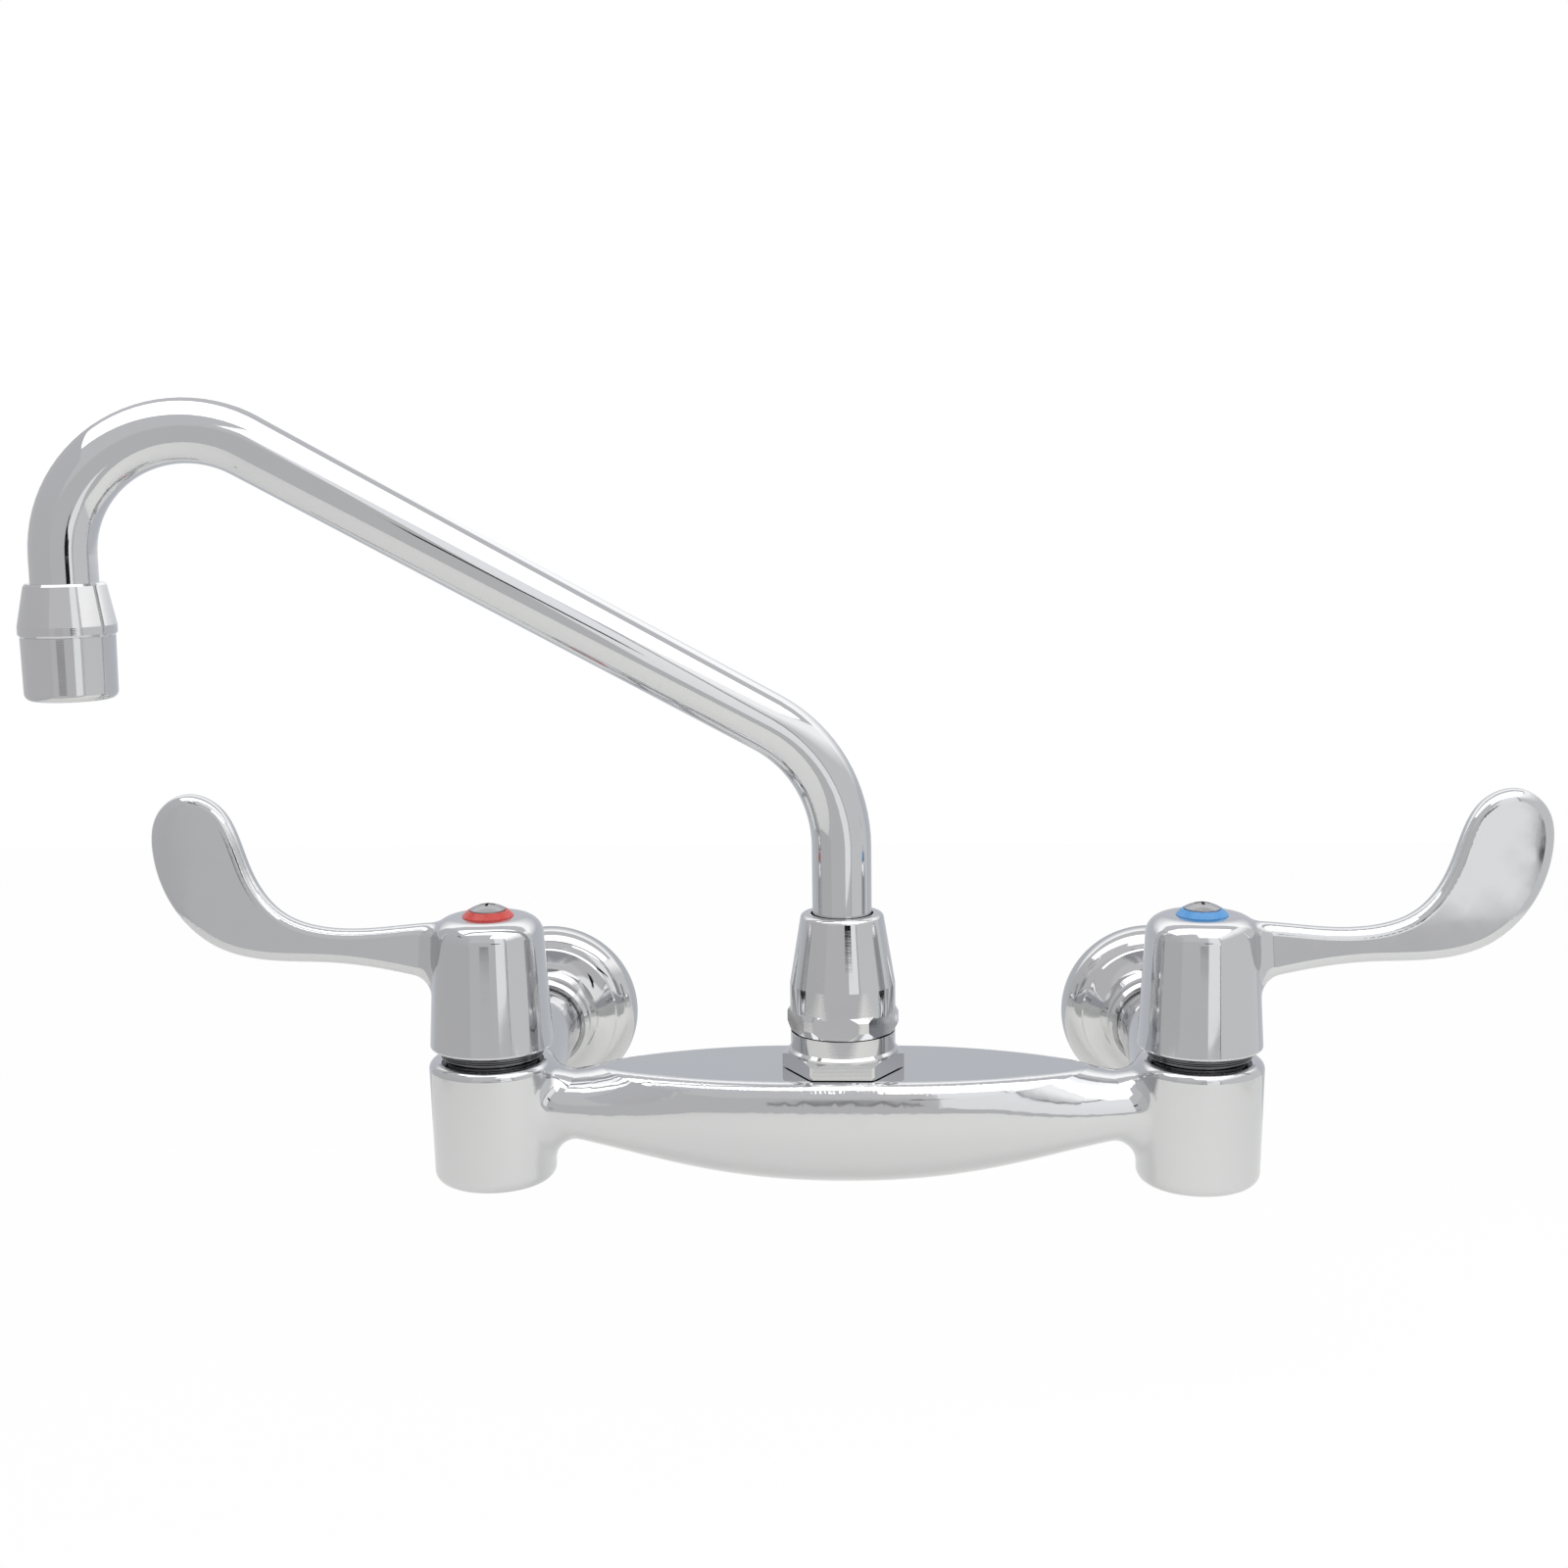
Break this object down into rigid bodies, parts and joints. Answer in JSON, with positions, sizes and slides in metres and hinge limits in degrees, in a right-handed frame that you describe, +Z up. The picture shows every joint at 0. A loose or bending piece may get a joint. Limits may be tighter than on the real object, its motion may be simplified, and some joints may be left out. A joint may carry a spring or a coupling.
{
  "type": "wall-mounted faucet",
  "caption": "Wall-mounted two-handle faucet: cast bridge body on two wall flanges, wrist-blade handles with hot and cold rings, and a bent-tube swivel spout with aerator.",
  "frame": {"origin": "on the wall plane, midway between the two inlets at their height", "axes": "+X towards the cold inlet along the wall, +Y into the wall so the faucet stands out along -Y, +Z up"},
  "size_m": [0.4224, 0.1623, 0.2342],
  "materials": {
    "chrome_plate": "polished chrome plate on cast and turned brass",
    "brass": "plain machined brass",
    "rubber": "black nitrile rubber",
    "ceramic": "lapped white ceramic",
    "slip_plastic": "white acetal",
    "aerator_plastic": "grey moulded acetal",
    "stainless": "satin stainless steel",
    "hot_red": "glossy red plastic",
    "cold_blue": "glossy blue plastic"
  },
  "bodies": {
    "faucet_body": {"body_casting": "chrome_plate", "spout_adapter": "chrome_plate", "adapter_o_ring": "rubber", "spout_collar": "chrome_plate", "spout_slip_ring": "slip_plastic", "hot_flange": "chrome_plate", "hot_inlet_union": "brass", "hot_union_washer": "rubber", "hot_coupling_nut": "chrome_plate", "hot_snap_ring": "stainless", "hot_seat_seal": "rubber", "hot_fixed_disc": "ceramic", "hot_cartridge_housing": "brass", "hot_cartridge_o_ring": "rubber", "hot_bonnet_nut": "chrome_plate", "cold_flange": "chrome_plate", "cold_inlet_union": "brass", "cold_union_washer": "rubber", "cold_coupling_nut": "chrome_plate", "cold_snap_ring": "stainless", "cold_seat_seal": "rubber", "cold_fixed_disc": "ceramic", "cold_cartridge_housing": "brass", "cold_cartridge_o_ring": "rubber", "cold_bonnet_nut": "chrome_plate"},
    "spout": {"spout_tube": "chrome_plate", "spout_ferrule": "brass", "spout_o_rings": "rubber", "outlet_cone": "chrome_plate", "aerator_washer": "rubber", "aerator_shell": "chrome_plate", "aerator_screen": "stainless", "aerator_insert": "aerator_plastic"},
    "hot_lever": {"hot_handle": "chrome_plate", "hot_index_ring": "hot_red", "hot_handle_screw": "stainless", "hot_stem": "brass", "hot_moving_disc": "ceramic"},
    "cold_lever": {"cold_handle": "chrome_plate", "cold_index_ring": "cold_blue", "cold_handle_screw": "stainless", "cold_stem": "brass", "cold_moving_disc": "ceramic"}
  },
  "joints": [
    {"name": "spout_swivel", "type": "hinge", "parent": "faucet_body", "child": "spout", "pos_m": [0, -0.0875, 0.02], "axis": [0, 0, 1], "range_deg": [-15, 161]},
    {"name": "hot_handle_turn", "type": "hinge", "parent": "faucet_body", "child": "hot_lever", "pos_m": [-0.1059, -0.0875, 0.03], "axis": [0, 0, 1], "range_deg": [0, 90]},
    {"name": "cold_handle_turn", "type": "hinge", "parent": "faucet_body", "child": "cold_lever", "pos_m": [0.1059, -0.0875, 0.03], "axis": [0, 0, 1], "range_deg": [-90, 0]}
  ]
}
